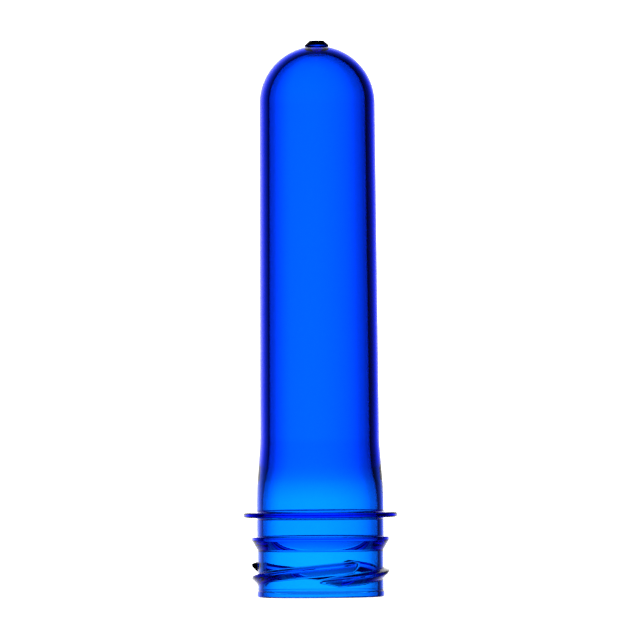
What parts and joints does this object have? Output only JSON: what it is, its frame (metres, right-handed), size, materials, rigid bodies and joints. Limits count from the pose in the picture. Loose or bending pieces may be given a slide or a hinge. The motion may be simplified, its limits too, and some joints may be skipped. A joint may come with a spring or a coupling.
{
  "type": "pet bottle preform",
  "caption": "Clear blue moulded preform for a drinks bottle: a finished screw neck with locking bead and support ring on a thick closed tube.",
  "frame": {"origin": "centre of the mouth, on the lip plane that the preform stands on", "axes": "+Z along the axis from the mouth to the gate; +X square to it, 48 degrees before the first thread ridge is full"},
  "size_m": [0.0334, 0.0334, 0.1204],
  "materials": {
    "tinted_pet": "clear amorphous PET tinted blue, mirror smooth"
  },
  "bodies": {
    "root": {"preform": "tinted_pet"}
  },
  "joints": []
}
